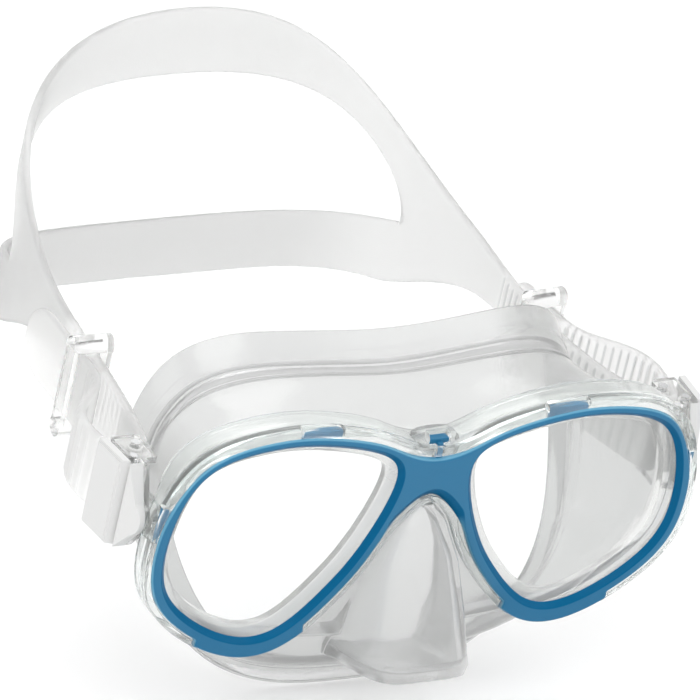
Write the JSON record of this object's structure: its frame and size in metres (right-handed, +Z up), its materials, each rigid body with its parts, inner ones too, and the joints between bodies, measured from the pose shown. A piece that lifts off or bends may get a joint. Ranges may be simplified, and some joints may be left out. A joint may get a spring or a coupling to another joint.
{
  "type": "diving mask",
  "caption": "Two-lens diving mask with a clear silicone skirt and nose pocket, a blue bezel in a clear frame, swivel buckles and a split head strap.",
  "frame": {"origin": "on the floor under the middle of the bounding box", "axes": "+X to the wearer's left, which is the viewer's right, +Y from the lenses to the back of the strap, +Z up"},
  "size_m": [0.166, 0.169, 0.1117],
  "materials": {
    "clear_silicone": "clear glossy silicone",
    "frosted_silicone": "frosted translucent silicone",
    "clear_frame": "clear polycarbonate",
    "blue_bezel": "satin blue",
    "lens_glass": "clear tempered glass",
    "white_plastic": "satin white",
    "steel_pins": "satin stainless steel"
  },
  "bodies": {
    "mask": {"skirt": "clear_silicone", "frame": "clear_frame", "bezel": "blue_bezel", "lens_left": "lens_glass", "lens_right": "lens_glass", "pivot_pin_left": "steel_pins", "pivot_pin_right": "steel_pins"},
    "harness": {"strap": "frosted_silicone", "buckle_cage_left": "clear_frame", "buckle_cage_right": "clear_frame", "buckle_cover_left": "white_plastic", "buckle_cover_right": "white_plastic", "lever_pin_left": "steel_pins", "lever_pin_right": "steel_pins", "roller_pin_left": "steel_pins", "roller_pin_right": "steel_pins"},
    "lever_left": {"release_lever_left": "white_plastic"},
    "roller_left": {"strap_roller_left": "white_plastic"},
    "keeper_body_left": {"keeper_left": "clear_frame"},
    "lever_right": {"release_lever_right": "white_plastic"},
    "roller_right": {"strap_roller_right": "white_plastic"},
    "keeper_body_right": {"keeper_right": "clear_frame"}
  },
  "joints": [
    {"name": "harness_swivel", "type": "hinge", "parent": "mask", "child": "harness", "pos_m": [0, -0.058, 0.06071], "axis": [1, 0, 0], "range_deg": [-20, 20]},
    {"name": "release_lever_left_lift", "type": "hinge", "parent": "harness", "child": "lever_left", "pos_m": [-0.0776, -0.0534, 0.06271], "axis": [0, 0, 1], "range_deg": [0, 25], "stiffness_Nm_per_rad": 0.02},
    {"name": "strap_roller_left_spin", "type": "hinge", "parent": "harness", "child": "roller_left", "pos_m": [-0.0742, -0.048, 0.06271], "axis": [0, 0, 1], "continuous": true},
    {"name": "keeper_left_slide", "type": "slide", "parent": "harness", "child": "keeper_body_left", "axis": [0.0545, 0.9985, 0], "range_m": [-0.004, 0.004]},
    {"name": "release_lever_right_lift", "type": "hinge", "parent": "harness", "child": "lever_right", "pos_m": [0.0776, -0.0534, 0.06271], "axis": [0, 0, -1], "range_deg": [0, 25], "stiffness_Nm_per_rad": 0.02},
    {"name": "strap_roller_right_spin", "type": "hinge", "parent": "harness", "child": "roller_right", "pos_m": [0.0742, -0.048, 0.06271], "axis": [0, 0, 1], "continuous": true},
    {"name": "keeper_right_slide", "type": "slide", "parent": "harness", "child": "keeper_body_right", "axis": [-0.0545, 0.9985, 0], "range_m": [-0.004, 0.004]}
  ]
}
